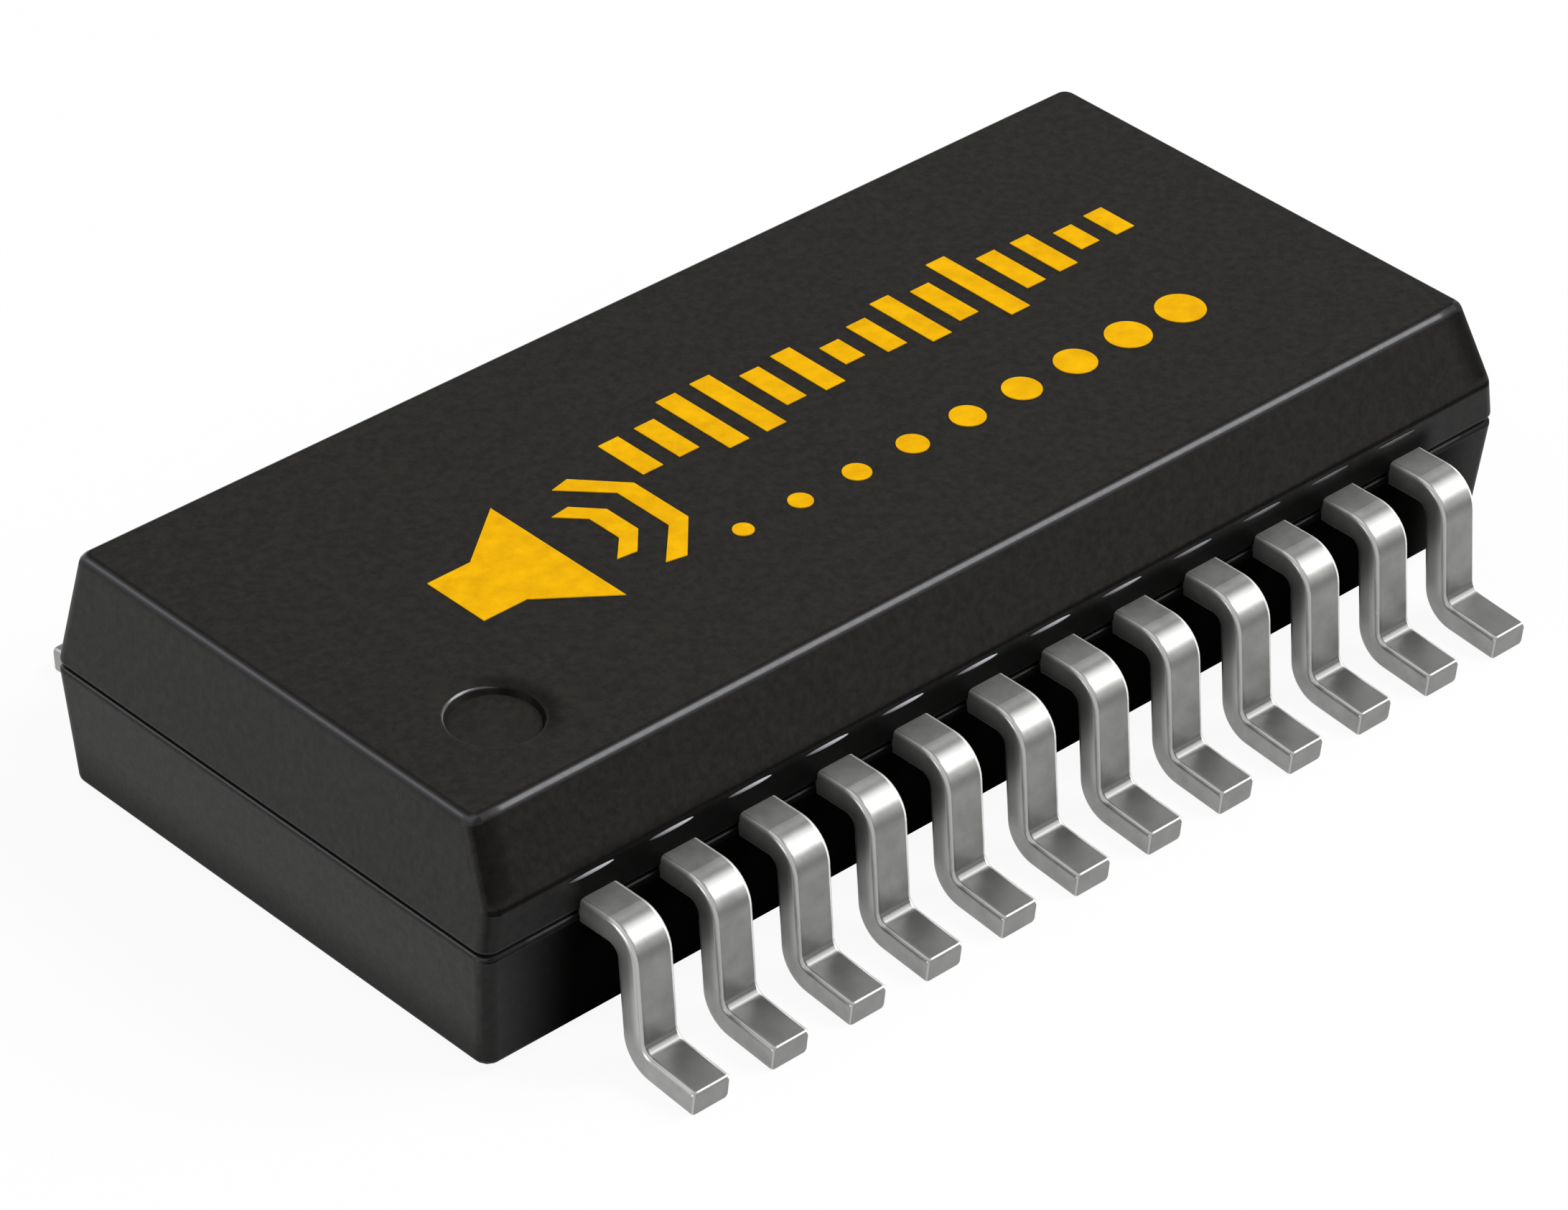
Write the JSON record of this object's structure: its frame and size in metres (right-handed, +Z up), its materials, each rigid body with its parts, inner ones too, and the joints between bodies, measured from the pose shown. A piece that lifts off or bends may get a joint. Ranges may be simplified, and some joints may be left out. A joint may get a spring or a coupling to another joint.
{
  "type": "voice chip",
  "caption": "Sound and voice integrated circuit in a black gull-wing small-outline package, with its lead frame, die and bond wires inside.",
  "frame": {"origin": "middle of the seating plane under the package, between the two rows of feet", "axes": "+X along the package from pin 1 towards pin 12, pins 1 to 12 on the -Y side, +Z up out of the marked top"},
  "size_m": [0.0088, 0.006, 0.0018],
  "materials": {
    "moulding_compound": "fine-textured black epoxy moulding compound, with yellow ink marks on top",
    "tinned_lead": "satin tin plate on copper alloy",
    "copper_sheet": "bare stamped copper alloy",
    "silver_adhesive": "cured silver-filled epoxy",
    "silicon": null,
    "gold_wire": null
  },
  "bodies": {
    "root": {"body": "moulding_compound", "lead_01": "tinned_lead", "lead_02": "tinned_lead", "lead_03": "tinned_lead", "lead_04": "tinned_lead", "lead_05": "tinned_lead", "lead_06": "tinned_lead", "lead_07": "tinned_lead", "lead_08": "tinned_lead", "lead_09": "tinned_lead", "lead_10": "tinned_lead", "lead_11": "tinned_lead", "lead_12": "tinned_lead", "lead_13": "tinned_lead", "lead_14": "tinned_lead", "lead_15": "tinned_lead", "lead_16": "tinned_lead", "lead_17": "tinned_lead", "lead_18": "tinned_lead", "lead_19": "tinned_lead", "lead_20": "tinned_lead", "lead_21": "tinned_lead", "lead_22": "tinned_lead", "lead_23": "tinned_lead", "lead_24": "tinned_lead", "die_paddle": "copper_sheet", "die_attach": "silver_adhesive", "die": "silicon", "bond_wire_01": "gold_wire", "bond_wire_02": "gold_wire", "bond_wire_03": "gold_wire", "bond_wire_04": "gold_wire", "bond_wire_05": "gold_wire", "bond_wire_06": "gold_wire", "bond_wire_07": "gold_wire", "bond_wire_08": "gold_wire", "bond_wire_09": "gold_wire", "bond_wire_10": "gold_wire", "bond_wire_11": "gold_wire", "bond_wire_12": "gold_wire", "bond_wire_13": "gold_wire", "bond_wire_14": "gold_wire", "bond_wire_15": "gold_wire", "bond_wire_16": "gold_wire", "bond_wire_17": "gold_wire", "bond_wire_18": "gold_wire", "bond_wire_19": "gold_wire", "bond_wire_20": "gold_wire", "bond_wire_21": "gold_wire", "bond_wire_22": "gold_wire", "bond_wire_23": "gold_wire", "bond_wire_24": "gold_wire"}
  },
  "joints": []
}
